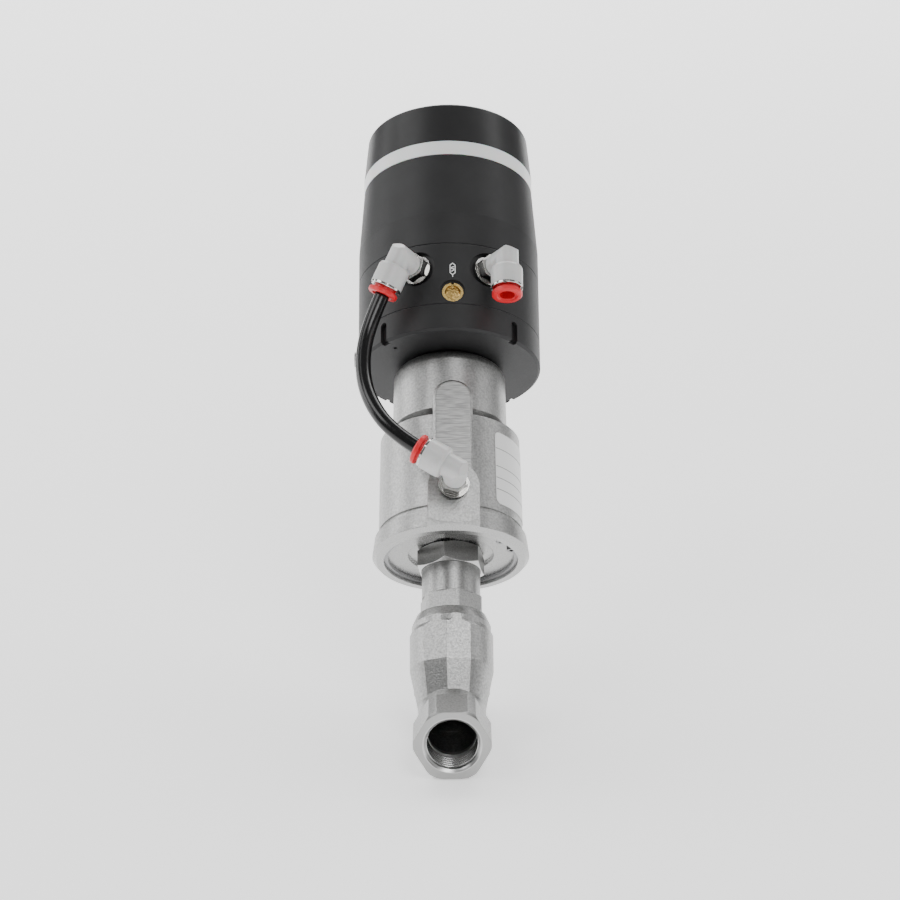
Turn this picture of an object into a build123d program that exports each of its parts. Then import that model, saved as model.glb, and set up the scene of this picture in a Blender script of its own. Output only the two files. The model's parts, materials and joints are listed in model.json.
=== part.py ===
from build123d import *
from math import atan2, cos, degrees, radians, sin, sqrt, tan
import os

# Angle seat valve with a pneumatic piston actuator and an electropneumatic head. All sizes in mm.
# The pipe runs along Y with the inlet face at the origin. The stem leans back from vertical.
# Heights are measured along the stem from the point where it crosses the pipe axis.

# ---- Driving dimensions ----

# Valve body
face_to_face = 68.0
lean = 45.0                   # stem from vertical
port_flats = 27.0
port_corner_r = 14.7          # corners of the port hexagon are turned back to this
port_length = 17.0
port_chamfer = 0.8
run_width_r = 12.9
run_height_r = 11.4
thread_r = 9.9                # G 1/2 pitch radius
thread_length = 12.5
mouth_r = 10.9
passage_r = 9.3
barrel_floor_r = 13.1
barrel_taper_top = 15.0
barrel_r = 16.1
barrel_top = 29.3
collar_r = 15.3
collar_shoulder = 33.3
body_top_r = 13.6
body_top = 37.3
facet_distance = 15.2         # two flat facets on the front of the barrel
facet_angle = 15.0            # each stands this far from the edge between them
facet_turn = -7.0             # that edge stands this far from the front
web_low = 1.0                 # wall between the inlet and outlet sides
web_high = 3.5
seat_face = 5.0
seat_r = 6.5
seat_rim = 1.8
cavity_r = 9.9
gasket_ledge = 26.0
skirt_r = 11.0

# Bonnet, packing and neck
gasket_thickness = 1.0
bonnet_flats = 22.0
bonnet_corner_r = 12.3
bonnet_hex_top = 45.0
neck_r = 11.35
neck_top = 59.0
neck_thread_r = 9.9
spigot_r = 9.0
spigot_low = 65.3
spigot_reach = 3.0            # above the end plate's hub
bush_r = 6.0
bush_length = 7.0
packing_r = 7.0
packing_floor = 37.0
disc_springs = 4
disc_spring_pitch = 1.9
disc_spring_wall = 0.7
packing_rings_count = 5
packing_ring_height = 2.6
packing_ring_pitch = 1.65
gland_length = 14.0
wiper_height = 2.2

# Stem, plug and piston
stem_r = 4.0
stroke = 8.0
plug_r = 9.2
plug_lip = 1.6
plug_top = 12.0
seal_thickness = 2.4
seal_r = 8.2
plug_thread_r = 2.5
piston_r = 24.6
piston_low = 83.0
piston_height = 8.0
stem_thread_r = 3.0
rod_r = 1.5
rod_reach = 27.3              # above the actuator
magnet_r = 4.0
magnet_height = 6.0

# Clamp nut below the actuator
nut_flats = 24.0
nut_low = 56.8
nut_high = 65.2
nut_turn = 20.0               # a corner stands this far from the X direction

# Actuator
actuator_angle = 2.5          # the actuator stands turned this far on its neck
cylinder_r = 25.0
flange_low = 61.5
flange_r = 30.65
flange_edge = 63.3            # top of the turned chamfer
flange_top = 70.4
flange_top_r = 29.75
groove_r = 27.5
groove_top = 73.3
wall_low_r = 28.2
wall_high_r = 27.6
shoulder_low = 112.5
shoulder_high = 117.9
dome_low_r = 22.7
dome_high_r = 22.2
dome_height = 26.8
dome_roof = 6.2
dome_spigot = 2.3             # stands up into the head's base
dome_fillet = 5.0
chamber_r = 19.3
chamber_low = 110.0
mouth_bore_r = 26.2
mouth_bore_top = 70.0
rib_width = 15.4
rib_top = 127.1
rib_top_distance = 28.4
rib_low = 80.0
rib_low_distance = 29.6
rib_edge = 1.2
boss_width = 20.0
boss_distance = 31.2
port_height = 79.7
port_depth = 5.6
circlip_low = 62.6
circlip_thickness = 1.3
circlip_groove_r = 27.4
circlip_width = 2.8
circlip_gap = 9.0
circlip_azimuth = 62.0
plate_hub_r = 13.0
plate_hub_height = 3.0
plate_recess_r = 16.7
o_ring_wire = 0.9             # radius of the O-ring section in the actuator
spring_wire_r = 1.5
spring_r = 15.0
spring_turns = 6.0

# Electropneumatic head, each height measured from the piece below
head_r = 36.6
base_bevel = 1.0
base_floor = 4.0
base_wall = 3.4
base_height = 11.8
band_height = 27.3
band_wall = 6.0
seam = 0.25                   # chamfer on each side of a seam
shell_wall = 2.8
shell_straight = 14.2
shell_taper = 28.3
head_taper = 2.0              # the shell and the cover are this much smaller in radius
light_ring_height = 6.4
cover_wall = 2.8
cover_wall_gap = 0.25
cover_spigot_height = 11.7
cover_seal_rise = 1.9         # above the light ring
cap_height = 18.9
cap_draft = 1.7
cap_overhang = 0.1
cap_roof = 4.6
cap_fillet = 1.2
slot_width = 3.2
slot_drop = 2.9               # below the top of the base
slot_depth = 1.8
slot_reach = 1.5              # length of the slot's foot under the base
vent_r = 0.75
vent_set_in = 6.5
spigot_hole_r = 12.0
base_screw_distance = 15.0
base_screw_r = 2.0
board_thickness = 1.6
pilot_width = 12.0
pilot_height = 21.0
pilot_pitch = 14.0
pilot_distance = 18.3
sensor_height = 41.0
silencer_rise = 5.6           # above the base
silencer_r = 4.2
silencer_length = 8.0
earth_screw_rise = 6.3        # above the actuator
earth_head_r = 3.0
connector_rise = 13.5         # above the base
connector_r = 6.0             # M12
connector_reach = 10.0

# Push-in elbows, laid out along the leg from where it crosses the post
fitting_rise = 16.7           # above the base
fitting_offset = 13.17
fitting_set_in = 5.11
fitting_axis_angle = 34.0
post_height = 14.0
post_neck_r = 4.25
post_neck_end = 9.0
leg_r = 4.75
corner_cut = 4.9              # flat on the outside of the mitre
sleeve_r = 6.3
sleeve_start = 4.2
sleeve_end = 12.8
ring_length = 1.0
ring_notches = 4
collar_flange_r = 6.0
collar_flange = 2.0
leg_length = 17.0
collar_travel = 1.0
tube_r = 3.0
tube_depth = 9.0
socket_end = 7.9
stud_flats = 10.0
fitting_thread_r = 4.8
fitting_thread_length = 5.4
spot_face_r = 7.6
transfer_swivel = 30.0        # tube elbow on the head, turned from straight down
actuator_swivel = 121.0       # tube elbow on the actuator, turned from straight down

# Clearances
running = 0.04
fit = 0.05
face_gap = 0.2

# ---- Reference planes ----

sin_lean, cos_lean = sin(radians(lean)), cos(radians(lean))
crossing = Vector(0, face_to_face / 2, 0)
stem_up = Vector(0, sin_lean, cos_lean)
stem_front = Vector(0, -cos_lean, sin_lean)
stem_plane = Plane(origin=crossing, x_dir=(1, 0, 0), z_dir=stem_up)
stem_axis = Axis(crossing, stem_up)
section = Plane(origin=crossing, x_dir=(1, 0, 0), z_dir=stem_front)
inlet_plane = Plane(origin=(0, 0, 0), x_dir=(1, 0, 0), z_dir=(0, 1, 0))
outlet_plane = Plane(origin=(0, face_to_face, 0), x_dir=(1, 0, 0), z_dir=(0, -1, 0))
pipe_section = Plane(origin=(0, 0, 0), x_dir=(0, 1, 0), z_dir=(1, 0, 0))
pipe_axis = Axis((0, 0, 0), (0, 1, 0))


def twisted(plane, x=0.0, y=0.0, z=0.0):
    """A plane turned in place about its own directions."""
    return Plane(plane.location * Location((0, 0, 0), (x, y, z)))


def section_at(azimuth):
    """Half section through the stem at an azimuth from the front, positive towards +X."""
    return twisted(section, y=azimuth - 90)


actuator_plane = twisted(stem_plane, z=actuator_angle)


def turned(points, plane=section, axis=stem_axis, mode=Mode.ADD):
    """Turn a closed outline, given as distance from the axis and height, about the axis."""
    with BuildSketch(plane) as outline:
        with BuildLine():
            Polyline(*points, close=True)
        make_face()
    revolve(outline.sketch, axis=axis, mode=mode)


def ring(inner, outer, low, high, mode=Mode.ADD):
    """A plain ring about the stem."""
    turned([(inner, low), (outer, low), (outer, high), (inner, high)], mode=mode)


def o_ring(centre_r, height, wire):
    """A round-section ring about the stem."""
    with BuildSketch(section) as wire_section:
        with Locations((centre_r, height)):
            Circle(wire)
    revolve(wire_section.sketch, axis=stem_axis)


def drill(plane, radius, start, depth):
    """A round hole along a plane's normal, from a height above the plane down by its depth."""
    with BuildSketch(plane.offset(start)) as mouth:
        Circle(radius)
    extrude(mouth.sketch, amount=-depth, mode=Mode.SUBTRACT)


def rod(plane, radius, start, length):
    """A round bar along a plane's normal."""
    with BuildSketch(plane.offset(start)) as end:
        Circle(radius)
    extrude(end.sketch, amount=length)


def save(part, name):
    """Label a finished piece and write it."""
    part.label = name
    export_step(part, f"parts/{name}.step")


def front_plane(height, distance, x=0.0):
    """A plane facing the front of the actuator, its x across and its y up the stem."""
    origin = actuator_plane.from_local_coords(Vector(x, -distance, height))
    up = actuator_plane.z_dir
    out = -actuator_plane.y_dir
    return Plane(origin=origin, x_dir=up.cross(out), z_dir=out)


def side_plane(height, distance, azimuth, base=actuator_plane):
    """A plane on the side of the head, facing outwards at an azimuth from the front."""
    turn = radians(azimuth)
    out_local = Vector(sin(turn), -cos(turn), 0)
    out = base.from_local_coords(out_local) - base.from_local_coords(Vector(0, 0, 0))
    origin = base.from_local_coords(out_local * distance + Vector(0, 0, height))
    return Plane(origin=origin, x_dir=base.z_dir.cross(out), z_dir=out)


os.makedirs("parts", exist_ok=True)

plate_hub_top = mouth_bore_top + plate_hub_height
spigot_top = plate_hub_top + spigot_reach
housing_top = shoulder_high + dome_height
housing_spigot_top = housing_top + dome_spigot
chamber_top = housing_top - dome_roof
rod_top = housing_top + rod_reach
band_low = housing_top + base_height
band_high = band_low + band_height
taper_low = band_high + shell_straight
taper_high = taper_low + shell_taper
light_ring_top = taper_high + light_ring_height
cap_top = light_ring_top + cap_height
cover_spigot_top = taper_high + cover_spigot_height
cover_seal_height = light_ring_top + cover_seal_rise
taper_r = head_r - head_taper
cover_spigot_r = taper_r - cover_wall

# ---- Valve body: one casting with two hexagonal ports, an inclined barrel and the seat ----

port_outline = [
    (0, 0),
    (0, port_corner_r - port_chamfer),
    (port_chamfer, port_corner_r),
    (port_length, port_corner_r),
    (port_length, 0),
]
facet_foot = -barrel_floor_r
facet_tilt = (barrel_r - barrel_floor_r) / barrel_taper_top
facet_width = sqrt(barrel_r**2 - facet_distance**2) + 0.5

with BuildPart() as port_hexagon:
    with BuildSketch(inlet_plane):
        RegularPolygon(port_flats / 2, 6, major_radius=False)
    extrude(amount=port_length)
    with BuildSketch(pipe_section) as port_turning:
        with BuildLine():
            Polyline(*port_outline, close=True)
        make_face()
    revolve(port_turning.sketch, axis=pipe_axis, mode=Mode.INTERSECT)

with BuildPart() as inlet_cavity:
    with BuildSketch(inlet_plane):
        Circle(passage_r)
    extrude(amount=face_to_face)
    split(bisect_by=stem_plane.offset(web_low), keep=Keep.BOTTOM)

with BuildPart() as outlet_cavity:
    with BuildSketch(inlet_plane):
        Circle(passage_r)
    extrude(amount=face_to_face)
    split(bisect_by=stem_plane.offset(web_high), keep=Keep.TOP)

with BuildPart() as barrel:
    with BuildSketch(section) as barrel_section:
        with BuildLine():
            CenterArc((0, 0), barrel_floor_r, -90, 90)
            Polyline(
                (barrel_floor_r, 0),
                (barrel_r, barrel_taper_top),
                (barrel_r, barrel_top),
                (collar_r, barrel_top + 2 * (barrel_r - collar_r)),
                (collar_r, collar_shoulder),
                (body_top_r, body_top),
                (0, body_top),
                (0, -barrel_floor_r),
            )
        make_face()
    revolve(barrel_section.sketch, axis=stem_axis)
    for azimuth in (facet_turn - facet_angle, facet_turn + facet_angle):
        with BuildSketch(section_at(azimuth)) as facet:
            with BuildLine():
                Polyline(
                    (facet_distance - facet_tilt * (barrel_taper_top - facet_foot), facet_foot),
                    (facet_distance, barrel_taper_top),
                    (facet_distance, collar_shoulder + 1),
                    (barrel_r + 2, collar_shoulder + 1),
                    (barrel_r + 2, facet_foot),
                    close=True,
                )
            make_face()
        extrude(facet.sketch, amount=facet_width, both=True, mode=Mode.SUBTRACT)

with BuildPart() as valve_body:
    add(port_hexagon.part)
    add(port_hexagon.part.mirror(Plane.XZ.offset(-face_to_face / 2)))
    with BuildSketch(inlet_plane.offset(port_length - 1)) as run_end:
        Ellipse(run_width_r, run_height_r)
    extrude(run_end.sketch, amount=face_to_face - 2 * port_length + 2)
    add(barrel.part)
    add(inlet_cavity.part, mode=Mode.SUBTRACT)
    add(outlet_cavity.part, mode=Mode.SUBTRACT)
    ring(0, cavity_r, web_high, gasket_ledge, mode=Mode.SUBTRACT)
    ring(0, skirt_r, gasket_ledge, body_top + 1, mode=Mode.SUBTRACT)
    ring(0, seat_r + seat_rim, web_high - 0.5, seat_face)
    ring(0, seat_r, web_low - 8, seat_face + 1, mode=Mode.SUBTRACT)
    for mouth in (inlet_plane, outlet_plane):
        drill(mouth, thread_r, thread_length, thread_length)
        with BuildSketch(mouth) as countersink:
            Circle(mouth_r)
        extrude(countersink.sketch, amount=mouth_r - thread_r, taper=45, mode=Mode.SUBTRACT)
save(valve_body.part, "valve_body")

# ---- Bonnet, screwed into the barrel, with the neck that carries the actuator ----

skirt_low = gasket_ledge + gasket_thickness
bush_low = skirt_low + 1.0
shoulder_r = stem_r + 0.5

with BuildPart() as bonnet_gasket:
    ring(cavity_r + fit, skirt_r - fit, gasket_ledge, skirt_low)
save(bonnet_gasket.part, "bonnet_gasket")

with BuildPart() as bonnet:
    with BuildSketch(stem_plane.offset(body_top)):
        RegularPolygon(bonnet_flats / 2, 6, major_radius=False, rotation=42)
        Circle(bonnet_corner_r, mode=Mode.INTERSECT)
    extrude(amount=bonnet_hex_top - body_top)
    ring(0, skirt_r - fit, skirt_low, body_top)
    ring(0, neck_r, bonnet_hex_top, neck_top)
    ring(0, neck_thread_r, neck_top, spigot_low)
    ring(0, spigot_r, spigot_low, spigot_top)
    ring(0, bush_r, skirt_low, bush_low + bush_length, mode=Mode.SUBTRACT)
    ring(0, shoulder_r, skirt_low, spigot_top, mode=Mode.SUBTRACT)
    ring(0, packing_r, packing_floor, spigot_top, mode=Mode.SUBTRACT)
    ring(spigot_r - 1.0, spigot_r + 1, plate_hub_top + 0.2, plate_hub_top + 1.4, mode=Mode.SUBTRACT)
save(bonnet.part, "bonnet")

with BuildPart() as guide_bush:
    ring(stem_r + running, bush_r - fit, bush_low, bush_low + bush_length)
save(guide_bush.part, "guide_bush")

with BuildPart() as packing_springs:
    for number in range(disc_springs):
        low = packing_floor + number * disc_spring_pitch
        rise = disc_spring_pitch - disc_spring_wall if number % 2 else 0
        fall = disc_spring_pitch - disc_spring_wall - rise
        turned([
            (stem_r + 0.4, low + rise),
            (packing_r - 0.1, low + fall),
            (packing_r - 0.1, low + fall + disc_spring_wall),
            (stem_r + 0.4, low + rise + disc_spring_wall),
        ])
save(packing_springs.part, "packing_springs")

packing_low = packing_floor + disc_springs * disc_spring_pitch
packing_high = packing_low + (packing_rings_count - 1) * packing_ring_pitch + packing_ring_height + 1.6

with BuildPart() as packing_rings:
    middle_r = (stem_r + packing_r) / 2
    for number in range(packing_rings_count):
        low = packing_low + 1.6 + number * packing_ring_pitch
        turned([
            (stem_r + running, low),
            (middle_r, low + 1.0),
            (packing_r - fit, low),
            (packing_r - fit, low + packing_ring_height - 1.0),
            (middle_r, low + packing_ring_height),
            (stem_r + running, low + packing_ring_height - 1.0),
        ])
save(packing_rings.part, "packing_rings")

with BuildPart() as packing_follower:
    turned([
        (stem_r + running, packing_low),
        (packing_r - fit, packing_low),
        (packing_r - fit, packing_low + 1.55),
        ((stem_r + packing_r) / 2, packing_low + 2.55),
        (stem_r + running, packing_low + 1.55),
    ])
save(packing_follower.part, "packing_follower")

gland_low = packing_high + fit
gland_high = gland_low + gland_length
with BuildPart() as packing_gland:
    ring(stem_r + running, packing_r - fit, gland_low, gland_high)
    ring(stem_r, stem_r + 1.6, gland_high - wiper_height, gland_high + 1, mode=Mode.SUBTRACT)
    for azimuth in (0, 90):
        with BuildSketch(stem_plane.offset(gland_high)) as key_slot:
            Rectangle(2 * packing_r, 1.6, rotation=azimuth)
        extrude(key_slot.sketch, amount=-1.2, mode=Mode.SUBTRACT)
save(packing_gland.part, "packing_gland")

with BuildPart() as stem_wiper:
    turned([
        (stem_r + running, gland_high - wiper_height + fit),
        (stem_r + 1.5, gland_high - wiper_height + fit),
        (stem_r + 1.5, gland_high - 0.6),
        (stem_r + 0.6, gland_high),
        (stem_r + running, gland_high - 0.5),
    ])
save(stem_wiper.part, "stem_wiper")

with BuildPart() as clamp_nut:
    with BuildSketch(stem_plane.offset(nut_low)):
        RegularPolygon(nut_flats / 2, 6, major_radius=False, rotation=nut_turn)
    extrude(amount=nut_high - nut_low)
    nut_face_r = nut_flats / 2 - 0.1
    nut_corner_r = nut_flats / sqrt(3)
    nut_bevel = 0.55 * (nut_corner_r - nut_face_r)
    turned([
        (0, nut_low),
        (nut_face_r, nut_low),
        (nut_corner_r + 0.1, nut_low + nut_bevel + 0.1),
        (nut_corner_r + 0.1, nut_high - nut_bevel - 0.1),
        (nut_face_r, nut_high),
        (0, nut_high),
    ], mode=Mode.INTERSECT)
    ring(0, neck_r + 0.15, nut_low - 1, neck_top + 0.1, mode=Mode.SUBTRACT)
    ring(0, neck_thread_r + fit, neck_top, nut_high + 1, mode=Mode.SUBTRACT)
save(clamp_nut.part, "clamp_nut")

with BuildPart() as neck_ring:
    ring(spigot_r - 1.0 + fit, spigot_r + 1.8, plate_hub_top + 0.25, plate_hub_top + 1.35)
    with BuildSketch(stem_plane.offset(plate_hub_top)) as ring_gap:
        with Locations((0, -spigot_r - 1)):
            Rectangle(4, 8)
    extrude(ring_gap.sketch, amount=3, mode=Mode.SUBTRACT)
save(neck_ring.part, "neck_ring")

# ---- Actuator housing: a cast cup with a spring dome, a milled rib and the air port boss ----

inner_cone = shoulder_high - shoulder_low
rib_slope = degrees(atan2(rib_low_distance - rib_top_distance, rib_top - rib_low))
rib_middle = (rib_top + rib_low) / 2
rib_distance = (rib_top_distance + rib_low_distance) / 2
rib_length = (rib_top - rib_low) / cos(radians(rib_slope))
rib_plane = twisted(front_plane(rib_middle, rib_distance), x=-rib_slope)

with BuildPart() as rib:
    with BuildSketch(rib_plane):
        with Locations((0, -rib_width / 4)):
            Rectangle(rib_width, rib_length - rib_width / 2)
        with Locations((0, rib_length / 2 - rib_width / 2)):
            Circle(rib_width / 2)
    extrude(amount=-(rib_distance - chamber_r - 2))
    rib_face = rib.faces().sort_by(Axis(rib_plane.origin, rib_plane.z_dir))[-1]
    fillet(rib_face.edges(), rib_edge)

with BuildPart() as actuator_housing:
    turned([
        (0, flange_low),
        (flange_r - 0.9 * (flange_edge - flange_low), flange_low),
        (flange_r, flange_edge),
        (flange_top_r, flange_top),
        (groove_r, flange_top),
        (groove_r, groove_top),
        (wall_low_r, groove_top),
        (wall_high_r, shoulder_low),
        (dome_low_r, shoulder_high),
        (dome_high_r, housing_top),
        (0, housing_top),
    ])
    rim = actuator_housing.edges().filter_by(GeomType.CIRCLE).sort_by(stem_axis)[-1]
    fillet(rim, dome_fillet)
    with BuildSketch(front_plane(0, boss_distance)) as boss_face:
        with Locations((0, (port_height + flange_low) / 2)):
            Rectangle(boss_width, port_height - flange_low)
        with Locations((0, port_height)):
            Circle(boss_width / 2)
    extrude(boss_face.sketch, amount=-(boss_distance - cylinder_r + 2))
    add(rib.part)
    turned([
        (flange_r - 0.9 * (flange_edge - flange_low), flange_low - 1),
        (flange_r - 0.9 * (flange_edge - flange_low), flange_low),
        (flange_r, flange_edge),
        (flange_r + 5, flange_edge + 5.5),
        (flange_r + 9, flange_edge + 5.5),
        (flange_r + 9, flange_low - 1),
    ], mode=Mode.SUBTRACT)
    turned([
        (0, flange_low - 1),
        (mouth_bore_r, flange_low - 1),
        (mouth_bore_r, circlip_low),
        (circlip_groove_r, circlip_low),
        (circlip_groove_r, circlip_low + circlip_thickness + 0.1),
        (mouth_bore_r, circlip_low + circlip_thickness + 0.1),
        (mouth_bore_r, mouth_bore_top),
        (cylinder_r, mouth_bore_top),
        (cylinder_r, chamber_low),
        (chamber_r, chamber_low + inner_cone),
        (chamber_r, chamber_top),
        (0, chamber_top),
    ], mode=Mode.SUBTRACT)
    ring(0, spigot_hole_r - 0.1, housing_top - 1, housing_spigot_top)
    ring(0, rod_r + 0.1, chamber_top - 1, housing_spigot_top + 1, mode=Mode.SUBTRACT)
    air_port = front_plane(port_height, boss_distance)
    drill(air_port, fitting_thread_r + fit, 0, port_depth)
    drill(air_port, 1.7, 0, boss_distance - cylinder_r + 4)
    with BuildSketch(stem_plane.offset(housing_top)) as screw_holes:
        with PolarLocations(base_screw_distance, 3):
            Circle(base_screw_r + fit)
    extrude(screw_holes.sketch, amount=-4.4, mode=Mode.SUBTRACT)
save(actuator_housing.part, "actuator_housing")

# ---- End plate with its seals and circlip ----

plate_low = circlip_low + circlip_thickness + 0.15
plate_high = mouth_bore_top
plate_r = mouth_bore_r - 0.1
plate_groove = (plate_low + plate_high) / 2
hub_seal = plate_high - 1.0

with BuildPart() as end_plate:
    ring(spigot_r + fit, plate_r, plate_low, plate_high)
    ring(spigot_r + fit, plate_hub_r, plate_high, plate_hub_top)
    ring(0, plate_recess_r, plate_low - 1, nut_high + face_gap, mode=Mode.SUBTRACT)
    ring(plate_r - 1.9, plate_r + 1, plate_groove - 1.2, plate_groove + 1.2, mode=Mode.SUBTRACT)
    ring(spigot_r, spigot_r + 1.9, hub_seal - 1.2, hub_seal + 1.2, mode=Mode.SUBTRACT)
    fillet(end_plate.edges().filter_by(GeomType.CIRCLE).sort_by(stem_axis)[0], 0.3)
save(end_plate.part, "end_plate")

with BuildPart() as end_plate_seal:
    o_ring(mouth_bore_r - o_ring_wire - fit, plate_groove, o_ring_wire)
save(end_plate_seal.part, "end_plate_seal")

with BuildPart() as neck_seal:
    o_ring(spigot_r + o_ring_wire + fit, hub_seal, o_ring_wire)
save(neck_seal.part, "neck_seal")

circlip_plane = twisted(stem_plane, z=circlip_azimuth - 90).offset(circlip_low + 0.05)
with BuildPart() as circlip:
    with BuildSketch(circlip_plane):
        Circle(circlip_groove_r - 0.1)
        Circle(circlip_groove_r - circlip_width, mode=Mode.SUBTRACT)
        with Locations((circlip_groove_r - 3.2, circlip_gap / 2), (circlip_groove_r - 3.2, -circlip_gap / 2)):
            Circle(1.8)
            Circle(0.8, mode=Mode.SUBTRACT)
        with Locations((circlip_groove_r, 0)):
            Rectangle(12, circlip_gap - 3.2, mode=Mode.SUBTRACT)
    extrude(amount=circlip_thickness)
save(circlip.part, "circlip")

# ---- Stem with the plug, the piston and the feedback rod ----

seal_low = seat_face + fit
seal_high = seal_low + seal_thickness
piston_high = piston_low + piston_height
stem_top = piston_high + 6.0
rod_low = stem_top - 20.0

with BuildPart() as stem:
    turned([
        (0, seat_face - 3.5),
        (plug_thread_r - 0.4, seat_face - 3.5),
        (plug_thread_r, seat_face - 3.1),
        (plug_thread_r, plug_top),
        (stem_r, plug_top),
        (stem_r, piston_low),
        (stem_thread_r, piston_low),
        (stem_thread_r, stem_top - 0.5),
        (stem_thread_r - 0.5, stem_top),
        (rod_r + fit, stem_top),
        (rod_r + fit, rod_low),
        (0, rod_low),
    ])
save(stem.part, "stem")

with BuildPart() as plug:
    turned([
        (plug_thread_r + fit, seal_high),
        (seal_r + fit, seal_high),
        (seal_r + fit, seal_high - plug_lip),
        (plug_r, seal_high - plug_lip),
        (plug_r, plug_top - 1.5),
        (plug_r - 2.6, plug_top),
        (plug_thread_r + fit, plug_top),
    ])
save(plug.part, "plug")

with BuildPart() as plug_seal:
    ring(plug_thread_r + fit, seal_r, seal_low, seal_high)
save(plug_seal.part, "plug_seal")

with BuildPart() as plug_nut:
    with BuildSketch(stem_plane.offset(seal_low - 3.0)):
        RegularPolygon(4.0, 6, major_radius=False)
    extrude(amount=2.2)
    ring(0, 5.4, seal_low - 0.9, seal_low)
    ring(0, plug_thread_r + fit, seal_low - 4, seal_low + 1, mode=Mode.SUBTRACT)
save(plug_nut.part, "plug_nut")

seal_groove_low, seal_groove_high, seal_groove_r = piston_low + 1.0, piston_low + 4.5, 21.3
guide_groove_low, guide_groove_high, guide_groove_r = piston_low + 5.5, piston_low + 7.3, 23.3
spring_pocket = piston_high - 2.0

with BuildPart() as piston:
    ring(stem_thread_r + fit, piston_r, piston_low, piston_high)
    ring(10, 20, piston_low - 1, piston_low + 2.6, mode=Mode.SUBTRACT)
    ring(spring_r - 2.3, spring_r + 2.3, spring_pocket, piston_high + 1, mode=Mode.SUBTRACT)
    ring(seal_groove_r, piston_r + 1, seal_groove_low, seal_groove_high, mode=Mode.SUBTRACT)
    ring(guide_groove_r, piston_r + 1, guide_groove_low, guide_groove_high, mode=Mode.SUBTRACT)
save(piston.part, "piston")

with BuildPart() as piston_seal:
    lip_r = cylinder_r - running
    turned([
        (seal_groove_r + fit, seal_groove_low + fit),
        (lip_r - 1.3, seal_groove_low + fit),
        (lip_r, seal_groove_low + 0.5),
        (lip_r, seal_groove_low + 0.9),
        (lip_r - 1.2, seal_groove_low + 2.0),
        (lip_r - 1.2, seal_groove_high - fit),
        (seal_groove_r + fit, seal_groove_high - fit),
        (seal_groove_r + fit, seal_groove_low + 1.6),
        (seal_groove_r + 1.0, seal_groove_low + 0.8),
    ])
save(piston_seal.part, "piston_seal")

with BuildPart() as piston_guide_ring:
    ring(guide_groove_r + fit, cylinder_r - running, guide_groove_low + fit, guide_groove_high - fit)
save(piston_guide_ring.part, "piston_guide_ring")

with BuildPart() as piston_nut:
    with BuildSketch(stem_plane.offset(piston_high)):
        RegularPolygon(5.0, 6, major_radius=False)
        Circle(stem_thread_r + fit, mode=Mode.SUBTRACT)
    extrude(amount=4.5)
save(piston_nut.part, "piston_nut")

with BuildPart() as feedback_rod:
    rod(stem_plane, rod_r, rod_low + fit, rod_top - rod_low)
save(feedback_rod.part, "feedback_rod")

with BuildPart() as magnet:
    ring(rod_r + fit, magnet_r, rod_top - magnet_height, rod_top - 0.5)
save(magnet.part, "magnet")

# ---- Return spring, its end coils ground flat on the piston and under the dome ----

spring_low = spring_pocket + fit
spring_high = chamber_top - fit
coil_low = spring_low + 0.35 * spring_wire_r
coil_height = spring_high - spring_low - 0.7 * spring_wire_r
coil_start = stem_plane.from_local_coords(Vector(0, 0, coil_low))

with BuildPart() as main_spring:
    with BuildLine() as coil:
        Helix(coil_height / spring_turns, coil_height, spring_r, center=coil_start, direction=stem_up)
    with BuildSketch(Plane(origin=coil.line @ 0, z_dir=coil.line % 0)) as wire:
        Circle(spring_wire_r)
    sweep(wire.sketch, path=coil.line, is_frenet=True)
    split(bisect_by=stem_plane.offset(spring_low), keep=Keep.TOP)
    split(bisect_by=stem_plane.offset(spring_high), keep=Keep.BOTTOM)
save(main_spring.part, "main_spring")

# ---- Electropneumatic head: base, port ring, shell, cover and what they hold ----

base_low = housing_top + fit
floor_top = base_low + base_floor
base_inner_r = head_r - base_wall

with BuildPart() as head_base:
    turned([
        (spigot_hole_r, base_low),
        (head_r - base_bevel, base_low),
        (head_r, housing_top + base_bevel),
        (head_r, band_low - seam - fit),
        (head_r - seam, band_low - fit),
        (base_inner_r, band_low - fit),
        (base_inner_r, floor_top),
        (spigot_hole_r, floor_top),
    ])
    with BuildSketch(stem_plane.offset(base_low)) as base_holes:
        with PolarLocations(base_screw_distance, 3):
            Circle(base_screw_r + 0.2)
        with PolarLocations(head_r - vent_set_in, 1, -90 - 45):
            Circle(vent_r)
    extrude(base_holes.sketch, amount=base_floor + 1, mode=Mode.SUBTRACT)
    for azimuth in (-135, -45, 45, 135):
        slot_plane = side_plane(band_low - slot_drop, head_r + 1, azimuth, stem_plane)
        with BuildSketch(slot_plane) as slot:
            with Locations((0, -slot_width / 2)):
                Circle(slot_width / 2)
            with Locations((0, -slot_width / 2 - 10)):
                Rectangle(slot_width, 20)
        extrude(slot.sketch, amount=-slot_depth - 1, mode=Mode.SUBTRACT)
        with BuildSketch(slot_plane) as foot:
            with Locations((0, base_low - band_low + slot_drop)):
                Rectangle(slot_width, 3)
        extrude(foot.sketch, amount=-slot_depth - slot_reach, mode=Mode.SUBTRACT)
    earth_plane = side_plane(housing_top + earth_screw_rise, head_r, -90, stem_plane)
    drill(earth_plane, 1.5 + fit, 1, base_wall + 2)
save(head_base.part, "head_base")

with BuildPart() as base_screws:
    with BuildSketch(stem_plane.offset(housing_top - 4.0)) as shanks:
        with PolarLocations(base_screw_distance, 3):
            Circle(base_screw_r)
    extrude(shanks.sketch, amount=floor_top - housing_top + 5.0)
    with BuildSketch(stem_plane.offset(floor_top)) as heads:
        with PolarLocations(base_screw_distance, 3):
            Circle(3.5)
    extrude(heads.sketch, amount=2.6)
    with BuildSketch(stem_plane.offset(floor_top + 2.6)) as sockets:
        with PolarLocations(base_screw_distance, 3):
            RegularPolygon(1.25, 6, major_radius=False)
    extrude(sockets.sketch, amount=-1.5, mode=Mode.SUBTRACT)
save(base_screws.part, "base_screws")

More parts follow.
